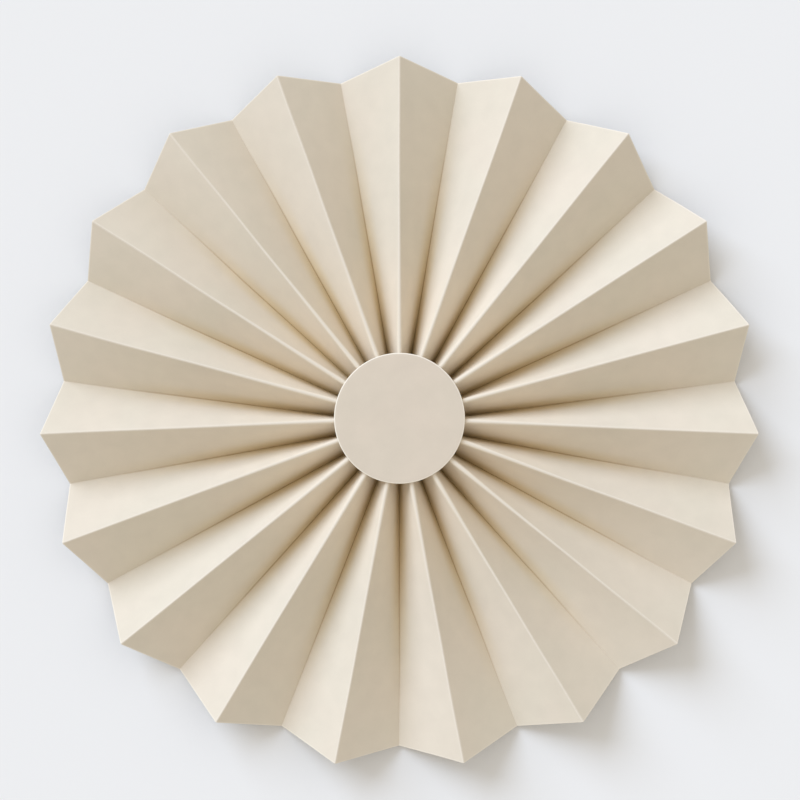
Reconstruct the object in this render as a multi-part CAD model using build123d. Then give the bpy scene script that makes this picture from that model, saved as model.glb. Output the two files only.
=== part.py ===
from build123d import *
import os
from math import asin, atan2, cos, hypot, pi, radians, sin, tan

# A paper fan rosette. One strip of card is folded into pleats, closed into a ring by a glued lap and gathered
# at the centre, where a punched card disc on each face holds the folds together.
# It lies on its back disc. Origin: centre of the back disc's rear face. +Z: out of the front. +Y: top of the fan.
# Lengths are in millimetres and angles in degrees. Azimuths run clockwise from +Y, seen from the front.

# Pleated strip
pleat_count = 19          # mountain folds, with as many valley folds between them
pleat_depth = 12.0        # valley to mountain, the same from the gathered centre to the rim
paper_thickness = 0.3
crease_radius = 0.1       # inside of every fold
tip_radius = 104.5        # mean reach of the pointed ends of the mountain folds
point_depth = 4.8         # how far the mountain folds end beyond the valley folds
gather_radius = 8.0       # hole inside the gathered folds, hidden by the discs

# Unevenness of a fan that was spread by hand
rim_shift = 1.7           # the rim's middle lies this far above the gathered centre
rim_flattening = 1.0      # how much the folds at the top and bottom fall short of a round rim
back_drop = 1.7           # the valley folds are gathered this far below the mountain folds
side_lean = -1.9          # swing of the folds that goes round the fan once
side_crowding = 2.2       # swing that goes round twice, which crowds the pleats at the two sides

# Glued lap that closes the ring, behind one panel
lap_fold = 20             # mountain fold that the doubled panel hangs from
lap_across = 0.2, 0.75    # shares of the panel's width where the lap starts and stops
lap_along = 0.1, 0.98     # shares of the panel's length, from the gathered edge to the rim

# Centre discs
disc_diameter = 38.0
disc_thickness = 0.8
disc_edge_bevel = 0.2     # soft outer edge left by the punch
glue_film = 0.1           # between a disc and the folds that it holds

# Values that follow from the sizes above
fold_count = 2 * pleat_count
fold_radius = crease_radius + paper_thickness / 2
disc_radius = disc_diameter / 2
middle_height = disc_thickness + glue_film + (paper_thickness + pleat_depth) / 2
front_seat = 2 * middle_height - disc_thickness


def facing(fold):
    """Plus one for a mountain fold, minus one for a valley fold."""
    return 1 if fold % 2 == 0 else -1


def lean(fold):
    """Azimuth of a fold in radians."""
    even_step = 2 * pi * fold / fold_count
    return even_step + radians(side_lean) * sin(even_step) + radians(side_crowding) * sin(2 * even_step)


def fold_end(fold, at_rim):
    """Middle of the paper at one end of a fold."""
    turn = lean(fold)
    mountain = facing(fold) > 0
    if at_rim:
        reach = tip_radius if mountain else tip_radius - point_depth
        reach += rim_shift * cos(turn) - rim_flattening / 2 * (cos(2 * turn) + cos(4 * turn))
        drop = 0
    else:
        reach = gather_radius
        drop = 0 if mountain else back_drop
    height = middle_height + facing(fold) * pleat_depth / 2
    return Vector(reach * sin(turn), reach * cos(turn) - drop, height)


def onward(fold):
    """Level direction across a fold, clockwise."""
    return Vector(cos(lean(fold)), -sin(lean(fold)), 0)


def panel_slope(fold, neighbour, at_rim):
    """Slope of the panel between two folds: the crossing tangent of their two bending circles."""
    away = fold_end(neighbour, at_rim) - fold_end(fold, at_rim)
    run = away.dot(onward(fold)) * (neighbour - fold)
    rise = pleat_depth - 2 * fold_radius
    return atan2(rise, run) + asin(2 * fold_radius / hypot(run, rise))


def crease(fold, side, at_rim):
    """The two corners of one skin at an end of a fold, where its panels meet the flat pressed along the crease.

    Side is plus one for the front skin and minus one for the back skin.
    """
    middle = fold_end(fold, at_rim) + Vector(0, 0, side * paper_thickness / 2)
    bend = fold_radius + facing(fold) * side * paper_thickness / 2
    before = bend * tan(panel_slope(fold, fold - 1, at_rim) / 2)
    after = bend * tan(panel_slope(fold, fold + 1, at_rim) / 2)
    return middle - onward(fold) * before, middle + onward(fold) * after


def zigzag(side, at_rim):
    """All corners of one skin at one cut edge of the strip, clockwise."""
    return [corner for fold in range(fold_count) for corner in crease(fold, side, at_rim)]


def ruled(first, second):
    """Surface of straight lines between two edges."""
    return Face.make_surface_from_curves(first, second)


def skin(side):
    """One skin of the paper: flats along the creases, and twisted panels between them."""
    lines = [Edge.make_line(inner, outer) for inner, outer in zip(zigzag(side, False), zigzag(side, True))]
    return [ruled(lines[place - 1], lines[place]) for place in range(len(lines))]


def cut_edge(at_rim):
    """The paper's thickness along one cut edge of the strip."""
    front, back = zigzag(1, at_rim), zigzag(-1, at_rim)
    faces = []
    for place in range(len(front)):
        front_line = Edge.make_line(front[place - 1], front[place])
        back_line = Edge.make_line(back[place - 1], back[place])
        faces.append(ruled(front_line, back_line))
    return faces


def closed_sheet():
    """The pleated ring: both skins and both cut edges, sewn into one solid."""
    return Solid(Shell(skin(1) + skin(-1) + cut_edge(False) + cut_edge(True)))


def lap_point(side, across, along):
    """Point of the doubled panel's skin at a share of its width and a share of its length."""
    near = Edge.make_line(*(crease(lap_fold, side, at_rim)[1] for at_rim in (False, True)))
    far = Edge.make_line(*(crease(lap_fold + 1, side, at_rim)[0] for at_rim in (False, True)))
    return Edge.make_line(near @ along, far @ along) @ across


def glue_lap():
    """The strip's last end, from the middle of the doubled panel's paper to one thickness behind it."""
    rings = []
    for along in lap_along:
        glued, outer = [], []
        for across in lap_across:
            front, back = lap_point(1, across, along), lap_point(-1, across, along)
            glued.append((front + back) / 2)
            outer.append(back * 2 - front)
        rings.append(glued + outer[::-1])
    lines = [Edge.make_line(inner, rim) for inner, rim in zip(*rings)]
    sides = [ruled(lines[place - 1], lines[place]) for place in range(len(lines))]
    ends = [ruled(Edge.make_line(ring[0], ring[1]), Edge.make_line(ring[3], ring[2])) for ring in rings]
    return Solid(Shell(sides + ends))


def disc(seat, outward):
    """A punched card disc that starts at a height and faces up or down, with its outer edge softened."""
    blank = Solid.make_cylinder(disc_radius, disc_thickness, Plane((0, 0, seat), z_dir=(0, 0, outward)))
    outer_edge = blank.edges().filter_by(GeomType.CIRCLE).sort_by(Axis.Z)[-1 if outward > 0 else 0]
    return blank.chamfer(disc_edge_bevel, None, [outer_edge])


nodes = {
    "pleated_fan": closed_sheet().fuse(glue_lap()),
    "front_disc": disc(front_seat, 1),
    "back_disc": disc(disc_thickness, -1),
}

os.makedirs("parts", exist_ok=True)
for name, shape in nodes.items():
    export_step(shape, f"parts/{name}.step")
    print(name, round(shape.volume), "mm3")
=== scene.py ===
import math

import bpy
import numpy as np
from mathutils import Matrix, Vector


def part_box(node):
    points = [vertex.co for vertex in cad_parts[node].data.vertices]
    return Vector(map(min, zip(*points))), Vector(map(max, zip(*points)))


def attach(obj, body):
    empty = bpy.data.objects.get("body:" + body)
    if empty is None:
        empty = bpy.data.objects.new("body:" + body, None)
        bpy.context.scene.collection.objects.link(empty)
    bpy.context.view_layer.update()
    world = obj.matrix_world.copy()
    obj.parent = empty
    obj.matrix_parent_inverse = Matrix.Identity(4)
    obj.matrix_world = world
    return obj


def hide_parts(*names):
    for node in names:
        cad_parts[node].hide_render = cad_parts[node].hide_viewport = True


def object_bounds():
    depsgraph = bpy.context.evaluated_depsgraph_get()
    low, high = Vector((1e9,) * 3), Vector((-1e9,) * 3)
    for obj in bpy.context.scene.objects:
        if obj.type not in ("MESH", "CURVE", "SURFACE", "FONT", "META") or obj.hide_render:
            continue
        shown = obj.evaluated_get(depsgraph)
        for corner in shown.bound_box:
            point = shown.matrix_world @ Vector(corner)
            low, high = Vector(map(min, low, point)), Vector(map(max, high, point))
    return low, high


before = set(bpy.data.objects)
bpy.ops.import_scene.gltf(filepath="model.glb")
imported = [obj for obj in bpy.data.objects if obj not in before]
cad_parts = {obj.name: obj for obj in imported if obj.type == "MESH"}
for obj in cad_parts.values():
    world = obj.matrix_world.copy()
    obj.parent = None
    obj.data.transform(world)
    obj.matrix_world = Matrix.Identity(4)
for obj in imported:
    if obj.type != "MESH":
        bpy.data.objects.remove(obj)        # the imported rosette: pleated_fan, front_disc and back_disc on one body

cadLow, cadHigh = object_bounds()
scene = bpy.context.scene
mm = 0.001               # one millimetre in the scene's metres
print("frame loaded:", ", ".join(sorted(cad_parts)))


# Mesh tools

def quads(*corners):
    # four equal grids of point numbers, read together as the four corners of each face
    return np.stack(corners, axis=-1).reshape(-1, 4)


def thickGrid(front, back, ring):
    # two facing grids of points (rows outwards, columns clockwise) closed along their borders into one solid:
    # both skins are quads of neighbouring points, and strips of quads join the first and last rows,
    # and the first and last columns too unless the grid runs round as a ring
    rows, columns = front.shape[:2]
    over = np.arange(rows * columns).reshape(rows, columns)
    if ring:
        over = np.concatenate([over, over[:, :1]], axis=1)
    under = over + rows * columns
    faces = [
        quads(over[:-1, :-1], over[:-1, 1:], over[1:, 1:], over[1:, :-1]),
        quads(under[1:, :-1], under[1:, 1:], under[:-1, 1:], under[:-1, :-1]),
        quads(over[0, :-1], under[0, :-1], under[0, 1:], over[0, 1:]),
        quads(over[-1, 1:], under[-1, 1:], under[-1, :-1], over[-1, :-1]),
    ]
    if not ring:
        faces.append(quads(over[1:, 0], under[1:, 0], under[:-1, 0], over[:-1, 0]))
        faces.append(quads(over[:-1, -1], under[:-1, -1], under[1:, -1], over[1:, -1]))
    return np.concatenate([front.reshape(-1, 3), back.reshape(-1, 3)]), np.concatenate(faces)


def addPiece(name, points, faces, smooth, sheet, material, node):
    # puts arrays into a mesh that rides in place of a CAD node. Smooth holds true or false for each face.
    # The sheet attribute holds, for each point, the millimetres to the nearest outward crease, inward crease
    # and cut edge
    mesh = bpy.data.meshes.new(name)
    mesh.from_pydata(points.tolist(), [], faces.tolist())
    layer = mesh.attributes.new("sheet", "FLOAT_VECTOR", "POINT")
    layer.data.foreach_set("vector", sheet.astype(np.float32).ravel())
    mesh.polygons.foreach_set("use_smooth", smooth)
    mesh.materials.append(material)
    mesh.update()
    piece = bpy.data.objects.new(name, mesh)
    scene.collection.objects.link(piece)
    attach(piece, "root")
    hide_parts(node)
    print(name, "has", len(faces), "quads")


def blendBetween(first, last, share):
    # straight line from first to last
    return first * (1 - share) + last * share


# Shader tools

class Shade:
    # one output socket of a node tree; arithmetic on it adds Math nodes

    def __init__(self, tree, socket=None):
        self.tree = tree
        self.socket = socket

    def node(self, kind, settings=None, inputs=None, output=0):
        # adds any node: its settings first, then the values or links of its sockets
        made = self.tree.nodes.new(kind)
        for name, value in (settings or {}).items():
            setattr(made, name, value)
        for key, value in (inputs or {}).items():
            if isinstance(value, Shade):
                self.tree.links.new(value.socket, made.inputs[key])
            else:
                made.inputs[key].default_value = value
        return Shade(self.tree, made.outputs[output] if len(made.outputs) else None)

    def maths(self, operation, first, second):
        # one Math node on two numbers or sockets
        return self.node("ShaderNodeMath", {"operation": operation}, {0: first, 1: second})

    def __add__(self, other):
        return self.maths("ADD", self, other)

    def __radd__(self, other):
        return self.maths("ADD", other, self)

    def __sub__(self, other):
        return self.maths("SUBTRACT", self, other)

    def __rsub__(self, other):
        return self.maths("SUBTRACT", other, self)

    def __mul__(self, other):
        return self.maths("MULTIPLY", self, other)

    def __rmul__(self, other):
        return self.maths("MULTIPLY", other, self)

    def parts(self):
        # the three components of a vector
        split = self.node("ShaderNodeSeparateXYZ", {}, {0: self})
        return [Shade(self.tree, socket) for socket in split.socket.node.outputs]

    def fade(self, start, stop):
        # smooth step from 0 at start to 1 at stop, which may be the smaller
        low, high = min(start, stop), max(start, stop)
        first, last = (0.0, 1.0) if start < stop else (1.0, 0.0)
        return self.node("ShaderNodeMapRange", {"interpolation_type": "SMOOTHSTEP"}, {
            "Value": self, "From Min": low, "From Max": high, "To Min": first, "To Max": last})

    def noise(self, size, detail=2.0, roughness=0.5):
        # soft noise, 0 to 1, with blots about size across, in the unit of the position that it is read from
        return self.node("ShaderNodeTexNoise", {"noise_dimensions": "3D"}, {
            "Vector": self, "Scale": 1 / size, "Detail": detail, "Roughness": roughness})

    def stretch(self, amounts):
        # vector times a number for each axis
        return self.node("ShaderNodeVectorMath", {"operation": "MULTIPLY"}, {0: self, 1: amounts})

    def mix(self, first, second):
        # colour between first and second by this factor
        return self.node("ShaderNodeMix", {"data_type": "RGBA"}, {0: self, 6: first, 7: second}, 2)

    def tint(self, colour):
        # this colour multiplied by another
        return self.node("ShaderNodeMix", {"data_type": "RGBA", "blend_type": "MULTIPLY"}, {
            0: 1.0, 6: self, 7: colour}, 2)


def newMaterial(name):
    # an empty material, and the start of its node tree
    material = bpy.data.materials.new(name)
    material.use_nodes = True
    tree = material.node_tree
    tree.nodes.clear()
    return material, Shade(tree)


# Cream card. Lengths without mm are plain millimetres. A band is a distance from a crease or cut edge, where
# a tone starts and where it is full. A reach is the same along the folds, measured from the rim
paper = {
    "fan": ((0.722, 0.656, 0.543, 1), (0.738, 0.661, 0.549, 1)),   # two tones that the card drifts between
    "disc": ((0.697, 0.617, 0.510, 1), (0.705, 0.616, 0.511, 1)),
    "driftSize": 24.0,
    "driftEdges": (0.35, 0.65),            # noise levels where one tone starts to give way and is gone
    "paintedLight": (0.850, 0.750, 0.610, 1),    # painted light: paler towards the gathered centre, where the deep folds are shaded
    "paintedLightReach": (40.0, 85.0),
    "creaseShade": (0.695, 0.558, 0.338, 1),    # painted shade: warm brown deepening down into inward creases
    "creaseShadeBand": (5.5, 0.5),
    "creaseShadeReach": (5.0, 80.0),
    "crestShade": (0.45, 0.40, 0.33, 1),       # painted shade beside the crease tops, a little darker towards the centre
    "crestShadeBand": (7.0, 1.0),
    "crestShadeReach": (20.0, 80.0),
    "crestShadeShare": 0.1,
    "creaseLineShade": (0.42, 0.29, 0.14, 1),       # painted shade: the thin dark line at the bottom of an inward crease
    "creaseLineShadeBand": (0.65, 0.0),
    "creaseLineShadeReach": (-6.0, 60.0),
    "creaseLineShadeShare": 0.85,
    "wornHighlight": (0.790, 0.720, 0.615, 1),      # the thin pale line along crease tops: partly fibres bruised pale, partly a painted highlight
    "wornHighlightBand": (0.5, 0.05),
    "wornHighlightSpots": 1.1,                      # length of its weaker and stronger spots
    "wornHighlightWeakest": 0.3,                    # how plainly it shows at the least, and what the spots add
    "wornHighlightGain": 0.9,
    "bare": (0.930, 0.870, 0.760, 1),      # pale band along cut edges: partly open fibres, partly a painted highlight
    "bareHighlightBand": (0.4, 0.12),
    "fanBareHighlight": 0.4,                        # how plainly they show on the thin strip, and on the thick discs
    "discBareHighlight": 1.0,
    "cloudSize": 5.5,                      # faint clouds, and fibres both ways that are longer than wide
    "fibreSize": 0.16,
    "fibreSlimness": 0.22,
    "darkest": 0.92,                       # the card's tone without clouds and fibres, and what they add
    "cloudGain": 0.10,
    "fibreGain": 0.03,
    "grainSize": 0.34,
    "fibreRelief": 0.5,                    # height of the fibres against the grain's
    "reliefDepth": 0.035 * mm,
    "reliefStrength": 0.5,
    "roughness": 0.88,
    "roughnessDrift": 0.08,
    "shine": 0.25,
}


def paperFinish(name, tones, bareHighlightShare):
    # matte uncoated card: cream with a slow drift of tone, faint clouds and fibres, and pale crease tops and cut
    # edges that are partly bruised and open fibres, partly painted highlights. Towards the gathered centre painted
    # light makes it paler, with painted shade beside the crease tops, olive brown painted shade down into the inward
    # creases, and a thin darker line of painted shade at their bottom
    material, start = newMaterial(name)
    place = start.node("ShaderNodeTexCoord", output="Object")
    place = place.node("ShaderNodeVectorMath", {"operation": "SCALE"}, {0: place, "Scale": 1 / mm})
    sheet = start.node("ShaderNodeAttribute", {"attribute_name": "sheet"}, output="Vector")
    fromCrest, fromScore, fromCut = sheet.parts()

    colour = place.noise(paper["driftSize"]).fade(*paper["driftEdges"]).mix(*tones)
    # painted light: the card is painted paler towards the gathered centre, where the deep folds shade it
    colour = fromCut.fade(*paper["paintedLightReach"]).mix(colour, paper["paintedLight"])
    # painted shade: warm olive brown deepening down into the inward creases, stronger towards the centre
    creaseShading = fromScore.fade(*paper["creaseShadeBand"]) * fromCut.fade(*paper["creaseShadeReach"])
    colour = creaseShading.mix(colour, paper["creaseShade"])
    # painted shade: a little darker beside the crease tops, more so towards the centre
    crestShading = fromCrest.fade(*paper["crestShadeBand"]) * fromCut.fade(*paper["crestShadeReach"])
    colour = (crestShading * paper["crestShadeShare"]).mix(colour, paper["crestShade"])

    slim = paper["fibreSlimness"]
    cloud = place.noise(paper["cloudSize"], detail=3.0)
    fibre = place.stretch((1.0, slim, 1.0)).noise(paper["fibreSize"])
    threads = place.stretch((slim, 1.0, 1.0)).noise(paper["fibreSize"])
    tone = paper["darkest"] + paper["cloudGain"] * cloud + paper["fibreGain"] * (fibre + threads)
    colour = colour.tint(tone.node("ShaderNodeCombineColor", {}, {0: tone, 1: tone, 2: tone}))

    # painted shade: a thin dark line at the bottom of each inward crease, stronger towards the centre
    creaseLineShading = fromScore.fade(*paper["creaseLineShadeBand"]) * fromCut.fade(*paper["creaseLineShadeReach"])
    colour = (creaseLineShading * paper["creaseLineShadeShare"]).mix(colour, paper["creaseLineShade"])
    # pale line along crease tops: partly bruised fibres, partly a painted highlight
    spots = place.noise(paper["wornHighlightSpots"]) * paper["wornHighlightGain"] + paper["wornHighlightWeakest"]
    crest = fromCrest.fade(*paper["wornHighlightBand"]) * spots
    colour = crest.mix(colour, paper["wornHighlight"])
    # pale band along cut edges: partly open fibres, partly a painted highlight
    bare = fromCut.fade(*paper["bareHighlightBand"]) * bareHighlightShare
    colour = bare.mix(colour, paper["bare"])

    grain = place.noise(paper["grainSize"], detail=3.0, roughness=0.6)
    height = grain + paper["fibreRelief"] * (fibre + threads)
    relief = height.node("ShaderNodeBump", {}, {
        "Strength": paper["reliefStrength"], "Distance": paper["reliefDepth"], "Height": height})
    rough = paper["roughness"] + paper["roughnessDrift"] * (cloud - 0.5)
    skin = start.node("ShaderNodeBsdfPrincipled", {}, {
        "Base Color": colour, "Roughness": rough, "Normal": relief, "Specular IOR Level": paper["shine"]})
    start.node("ShaderNodeOutputMaterial", {}, {"Surface": skin})
    return material


# Pleated strip

pleats = {
    "count": 19,               # mountain folds
    "paper": 0.3 * mm,
    "crease": 0.1 * mm,        # inside radius of a fold
    "roundness": 0.18,         # of the mountain folds at the gathered centre, in shares of a panel's run
    "roundnessFall": 4,        # power by which that falls off towards the rim
    "gather": 8.0 * mm,        # reach of the inner cut edge
    "pointDepth": 4.8 * mm,
    "rimShift": 1.7 * mm,      # from here to the crowding: unevenness of a fan that was spread by hand
    "rimFlattening": 1.0 * mm,
    "backDrop": 1.7 * mm,
    "sideLean": -1.9,          # degrees
    "sideCrowding": 2.2,
    "arcSteps": 6,
    "panelSteps": 12,
    "rows": 48,
    "lastRow": 0.998,          # share of a fold's length, one thin row short of the rim
    "lipTurns": (35.0, 70.0),  # degrees round the cut edge, and how far it bulges in shares of half the paper
    "lipBulge": 0.6,
    "wobble": 0.10 * mm,       # slow waviness of the whole sheet
    "waveCount": 7,
    "waveLength": 75 * mm,
    "bow": 0.22 * mm,          # how far single panels belly in or out
    "bowPlace": 0.8,           # power of the share along a fold: under 1 sets the belly nearer to the centre
    "seed": 11,
    "lapFold": 20,             # mountain fold that the doubled panel hangs from
    "lapAcross": (0.2, 0.75),  # shares of that panel's width and length where the lap starts and stops
    "lapAlong": (0.1, 0.98),
    "lapLayers": (0.4, 1.5),   # its two skins, in papers behind the middle of the panel
}


def foldLayout():
    # per fold: azimuth clockwise from +Y, and both ends in plan. The azimuths swing once and twice round the
    # fan. The rim's reach swings once round for its shift, and twice and four times for its flat top and
    # bottom. The valleys' inner ends are gathered lower than the mountains'
    low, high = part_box("pleated_fan")
    even = np.arange(2 * pleats["count"]) * math.pi / pleats["count"]
    azimuth = even + math.radians(pleats["sideLean"]) * np.sin(even)
    azimuth = azimuth + math.radians(pleats["sideCrowding"]) * np.sin(2 * even)
    mountain = np.arange(len(even)) % 2 == 0
    tip = high.y - pleats["rimShift"] + pleats["rimFlattening"]
    reach = tip - np.where(mountain, 0, pleats["pointDepth"])
    reach = reach + pleats["rimShift"] * np.cos(azimuth)
    reach = reach - pleats["rimFlattening"] / 2 * (np.cos(2 * azimuth) + np.cos(4 * azimuth))
    outward = np.stack([np.sin(azimuth), np.cos(azimuth)], axis=-1)
    drop = np.stack([np.zeros(len(even)), np.where(mountain, 0, pleats["backDrop"])], axis=-1)
    return {
        "azimuth": azimuth, "facing": np.where(mountain, 1, -1),
        "inner": pleats["gather"] * outward - drop, "rim": reach[:, None] * outward,
        "depth": high.z - low.z - pleats["paper"], "middle": (high.z + low.z) / 2,
    }


def panelShares():
    # places across a panel, crowded towards both folds: half of one minus the cosine, over half a turn
    return (1 - np.cos(np.linspace(0, math.pi, pleats["panelSteps"] + 1))) / 2


def sheetMiddle(layout, along):
    # middle surface of the paper, one row for each share along the folds. The folds run level, mountains half
    # the depth above the middle and valleys half below. Each row runs clockwise, as an arc round every fold,
    # square to it, and straight panels along the crossing tangents of neighbouring arcs. The mountains' arcs
    # widen towards the gathered centre, by a power of the share that is left to the rim
    azimuth, facing = layout["azimuth"], layout["facing"]
    plan = blendBetween(layout["inner"], layout["rim"], along[:, None, None])
    fall = (1 - along[:, None]) ** pleats["roundnessFall"]
    widening = pleats["roundness"] * fall * math.pi / pleats["count"]
    rounding = np.where(facing > 0, widening * np.linalg.norm(plan, axis=-1), 0)
    bend = rounding + pleats["crease"] + pleats["paper"] / 2
    level = layout["middle"] + facing * (layout["depth"] / 2 - bend)
    centre = np.concatenate([plan, level[..., None]], axis=-1)
    zero = np.zeros(len(azimuth))
    onward = np.stack([np.cos(azimuth), -np.sin(azimuth), zero], axis=-1)
    upward = np.stack([zero, zero, facing], axis=-1)

    def slope(way):
        # of the crossing tangent to the next arc, clockwise for plus one and back for minus one
        step = np.roll(centre, -way, axis=1) - centre
        run, rise = way * np.sum(step * onward, axis=-1), np.abs(step[..., 2])
        bends = bend + np.roll(bend, -way, axis=1)
        return (np.arctan2(rise, run) + np.arcsin(bends / np.hypot(run, rise)))[..., None]

    turn = blendBetween(-slope(-1), slope(1), np.linspace(0, 1, pleats["arcSteps"] + 1))[..., None]
    around = np.sin(turn) * onward[:, None] + np.cos(turn) * upward[:, None]
    arcs = centre[:, :, None] + bend[:, :, None, None] * around
    nextArcs = np.roll(arcs[:, :, :1], -1, axis=1)
    panels = blendBetween(arcs[:, :, -1:], nextArcs, panelShares()[1:-1, None])
    return np.concatenate([arcs, panels], axis=2).reshape(len(along), -1, 3)


def handWobble(points):
    # slow waviness of paper that was handled: a few long sine waves in fixed random directions
    count = pleats["waveCount"]
    draw = np.random.default_rng(pleats["seed"])
    waves = draw.normal(size=(3, count)) * (2 * math.pi / pleats["waveLength"])
    pushes = draw.normal(size=(count, 3)) * pleats["wobble"] / math.sqrt(count)
    return np.sin(points @ waves + draw.uniform(0, 2 * math.pi, count)) @ pushes


def crossNormals(grid):
    # unit normals of a ring grid from the differences of neighbouring points round it and outwards
    around = np.roll(grid, -1, axis=1) - np.roll(grid, 1, axis=1)
    normal = np.cross(around, np.gradient(grid, axis=0))
    return normal / np.linalg.norm(normal, axis=-1, keepdims=True)


def sheetMarks(middle, along, columns):
    # millimetres to the nearest mountain crease, valley crease and cut rim. The first two are running lengths
    # along each row, from the middle of one fold's arc to the middle of the next
    halfArc = pleats["arcSteps"] // 2
    steps = np.linalg.norm(np.roll(middle, -1, axis=1) - middle, axis=-1) / mm
    steps = np.roll(steps, -halfArc, axis=1).reshape(len(along), -1, columns)
    fromFold = np.cumsum(steps, axis=2) - steps
    toNext = np.sum(steps, axis=2, keepdims=True) - fromFold
    mountain = (np.arange(steps.shape[1]) % 2 == 0)[:, None]
    toMountain, toValley = np.where(mountain, fromFold, toNext), np.where(mountain, toNext, fromFold)
    creases = np.stack([toMountain, toValley], axis=-1).reshape(middle.shape[:2] + (2,))
    rim = (1 - along[:, None]) * np.linalg.norm(middle[-1] - middle[0], axis=-1) / mm
    return np.concatenate([np.roll(creases, halfArc, axis=1), rim[..., None]], axis=-1)


def pleatedFan(material):
    # the paper's middle surface, bellied panel by panel as a sine both ways, with half the thickness laid to
    # each side and the cut edge rounded over
    layout = foldLayout()
    along = np.append(np.linspace(0, pleats["lastRow"], pleats["rows"]), 1)
    middle = sheetMiddle(layout, along)
    columns = pleats["arcSteps"] + pleats["panelSteps"]
    shares = np.concatenate([np.zeros(pleats["arcSteps"]), panelShares()[:-1]])
    shares = np.tile(shares, 2 * pleats["count"])
    draw = np.random.default_rng(pleats["seed"] + 1)
    bellies = np.repeat(draw.normal(0, pleats["bow"], 2 * pleats["count"]), columns)
    belly = bellies * np.sin(math.pi * shares) * np.sin(math.pi * along[:, None] ** pleats["bowPlace"])
    middle = middle + belly[..., None] * crossNormals(middle) + handWobble(middle) * along[:, None, None]
    normal = crossNormals(middle)

    half = pleats["paper"] / 2
    outward = middle[-1] - middle[-2]
    outward = outward / np.linalg.norm(outward, axis=-1, keepdims=True)
    turns = np.radians(pleats["lipTurns"])[:, None, None]
    lip = middle[-1] + half * np.sin(turns) * outward * pleats["lipBulge"]
    front = np.concatenate([middle + half * normal, lip + half * np.cos(turns) * normal[-1]])
    back = np.concatenate([middle - half * normal, lip - half * np.cos(turns) * normal[-1]])
    points, faces = thickGrid(front, back, True)

    # seen from behind, mountains are valleys, so the back skin swaps its first two marks
    marks = sheetMarks(middle, along, columns)
    marks = np.concatenate([marks, marks[-1:], marks[-1:]]).reshape(-1, 3)
    sheet = np.concatenate([marks, marks[:, [1, 0, 2]]])

    lapPoints, lapFaces = glueLap(middle, normal, along)
    smooth = np.arange(len(faces) + len(lapFaces)) < len(faces)
    faces = np.concatenate([faces, lapFaces + len(points)])
    points = np.concatenate([points, lapPoints])
    sheet = np.concatenate([sheet, np.full(lapPoints.shape, pleats["gather"] / mm)])
    addPiece("pleatedFan", points, faces, smooth, sheet, material, "pleated_fan")


def placesWithin(shares, span):
    # numbers of the grid lines whose share lies between both ends of the span
    return np.flatnonzero((shares >= span[0]) & (shares <= span[1]))


def glueLap(middle, normal, along):
    # the strip's last end behind one panel: that panel's own surface, trimmed all round and set back by one
    # paper
    first = pleats["lapFold"] * (pleats["arcSteps"] + pleats["panelSteps"]) + pleats["arcSteps"]
    rows = placesWithin(along, pleats["lapAlong"])
    keep = np.ix_(rows, first + placesWithin(panelShares(), pleats["lapAcross"]))
    surface, outward = middle[keep], normal[keep]
    glued, bare = (surface - layer * pleats["paper"] * outward for layer in pleats["lapLayers"])
    return thickGrid(glued, bare, False)


# Centre discs

discs = {
    "edgeSoft": 0.25 * mm,
    "edgeSteps": 5,
    "rings": 20,
}


def cardDisc(name, node, outward, material):
    # punched card on a square grid whose square rings are bent into circles, so there is no pole at the
    # centre: the reach is the larger of both grid coordinates, and the turn follows from their ratio, an
    # eighth turn a side. The face runs flat to the soft edge and rounds over there as a quarter circle
    low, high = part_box(node)
    radius, soft = (high.x - low.x) / 2, discs["edgeSoft"]
    top, bottom = (high.z, low.z) if outward > 0 else (low.z, high.z)
    turn = np.linspace(0, math.pi / 2, discs["edgeSteps"] + 1)[1:]
    flat = np.linspace(0, radius - soft, discs["rings"])
    rings = np.concatenate([flat, radius - soft + soft * np.sin(turn)])
    drop = np.concatenate([np.zeros(discs["rings"]), soft * (1 - np.cos(turn))])
    ticks = np.concatenate([-rings[:0:-1], rings])
    x, y = np.meshgrid(ticks, ticks)
    wide = np.abs(x) > np.abs(y)
    longer, shorter = np.where(wide, x, y), np.where(wide, y, x)
    lean = math.pi / 4 * shorter / np.where(longer == 0, 1, longer)
    across, upright = longer * np.cos(lean), longer * np.sin(lean)
    x, y = np.where(wide, across, upright), np.where(wide, upright, across)
    reach = np.abs(longer)
    face = np.stack([x, y, top - outward * np.interp(reach, rings, drop)], axis=-1)
    seat = np.stack([x, y, np.full(x.shape, bottom)], axis=-1)
    front, back = (face, seat) if outward > 0 else (seat, face)
    points, faces = thickGrid(front, back, False)
    fromCut = np.tile((radius - reach).ravel(), 2) / mm
    far = np.full(len(points), radius / mm)
    sheet = np.stack([far, far, fromCut], axis=-1)
    addPiece(name, points, faces, np.ones(len(faces), dtype=bool), sheet, material, node)


# Stage, light and camera

stage = {
    "floorColour": (0.86, 0.86, 0.86, 1),
    "floorReach": 4.0,         # metres
    "floorDrop": 0.05 * mm,    # clear of the back disc
    "floorRoughness": 0.9,
    "floorDrift": 0.05,        # how far the roughness drifts, and over how many metres
    "floorDriftSize": 0.2,
    "floorShine": 0.1,
    "keyAzimuth": 133.0,       # degrees from +X, the upper left of the picture
    "keyHeight": 30.5,
    "keyStrength": 2.12,
    "keyColour": (0.84, 0.97, 1.19),
    "keySpread": 40.0,
    "roomStrength": 0.663,
    "roomColour": (1.06, 1.01, 0.93, 1),
    "cameraDistance": 630 * mm,
    "sensorWidth": 36.0,
    "pixelSize": 0.2935 * mm,  # at the middle of the rosette's depth
    "imageSide": 800,
    "gatherPixel": (399.5, 418.1),
}


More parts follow.
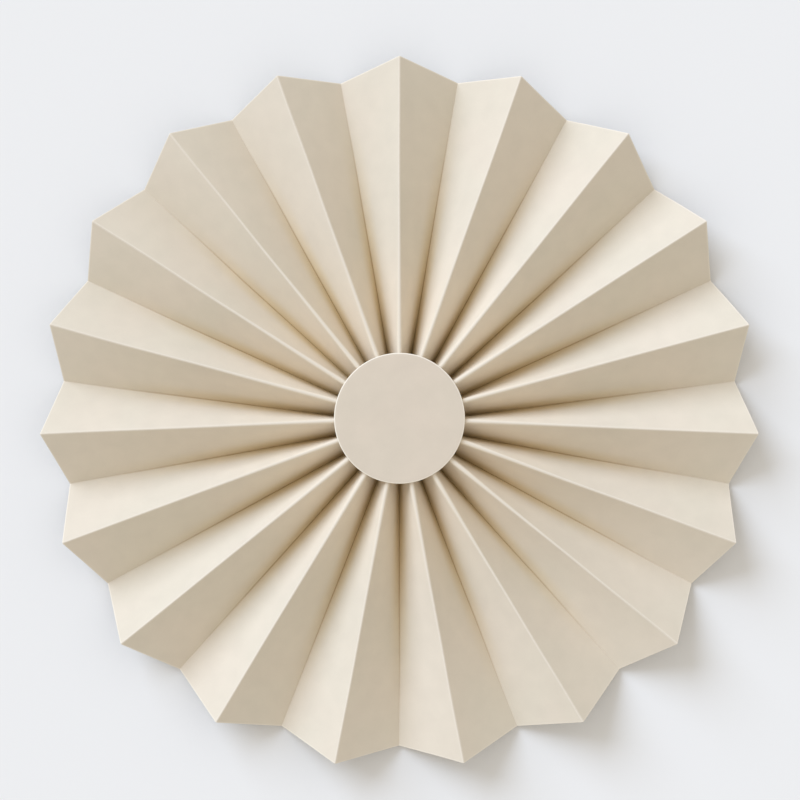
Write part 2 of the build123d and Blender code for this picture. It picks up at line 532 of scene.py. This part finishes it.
def addFloor():
    # one flat square, just under the back disc
    material, start = newMaterial("paleFloor")
    place = start.node("ShaderNodeTexCoord", output="Object")
    rough = stage["floorRoughness"] + stage["floorDrift"] * place.noise(stage["floorDriftSize"])
    matte = start.node("ShaderNodeBsdfPrincipled", {}, {
        "Base Color": stage["floorColour"], "Roughness": rough, "Specular IOR Level": stage["floorShine"]})
    start.node("ShaderNodeOutputMaterial", {}, {"Surface": matte})
    reach, level = stage["floorReach"], cadLow.z - stage["floorDrop"]
    corners = [(-reach, -reach, level), (reach, -reach, level), (reach, reach, level), (-reach, reach, level)]
    mesh = bpy.data.meshes.new("floor")
    mesh.from_pydata(corners, [], [(0, 1, 2, 3)])
    mesh.materials.append(material)
    floor = bpy.data.objects.new("floor", mesh)
    scene.collection.objects.link(floor)


def addLight():
    # a broad soft lamp from the upper left, low enough to rake the pleats, in an evenly lit room
    azimuth, height = math.radians(stage["keyAzimuth"]), math.radians(stage["keyHeight"])
    key = bpy.data.lights.new("key", "SUN")
    key.energy = stage["keyStrength"]
    key.color = stage["keyColour"]
    key.angle = math.radians(stage["keySpread"])
    lamp = bpy.data.objects.new("key", key)
    lamp.rotation_euler = (0, math.pi / 2 - height, azimuth)
    scene.collection.objects.link(lamp)
    world = bpy.data.worlds.new("room")
    world.use_nodes = True
    glow = world.node_tree.nodes["Background"]
    glow.inputs["Color"].default_value = stage["roomColour"]
    glow.inputs["Strength"].default_value = stage["roomStrength"]
    scene.world = world


def addCamera():
    # straight above, shifted so that the gathered centre falls on its pixel. The lens is the sensor's width
    # times the distance, over the width that the picture takes in
    low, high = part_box("pleated_fan")
    side, pixel = stage["imageSide"], stage["pixelSize"]
    column, row = stage["gatherPixel"]
    camera = bpy.data.cameras.new("camera")
    camera.sensor_width = stage["sensorWidth"]
    camera.lens = camera.sensor_width * stage["cameraDistance"] / (side * pixel)
    eye = bpy.data.objects.new("camera", camera)
    eye.location = ((side / 2 - column) * pixel, (row - side / 2) * pixel,
                    (low.z + high.z) / 2 + stage["cameraDistance"])
    scene.collection.objects.link(eye)
    scene.camera = eye


pleatedFan(paperFinish("pleatedPaper", paper["fan"], paper["fanBareHighlight"]))
discCard = paperFinish("discCard", paper["disc"], paper["discBareHighlight"])
cardDisc("frontDisc", "front_disc", 1, discCard)
cardDisc("backDisc", "back_disc", -1, discCard)
print("rosette built")

addFloor()
addLight()
addCamera()
scene.view_settings.view_transform = "Standard"
print("stage set")
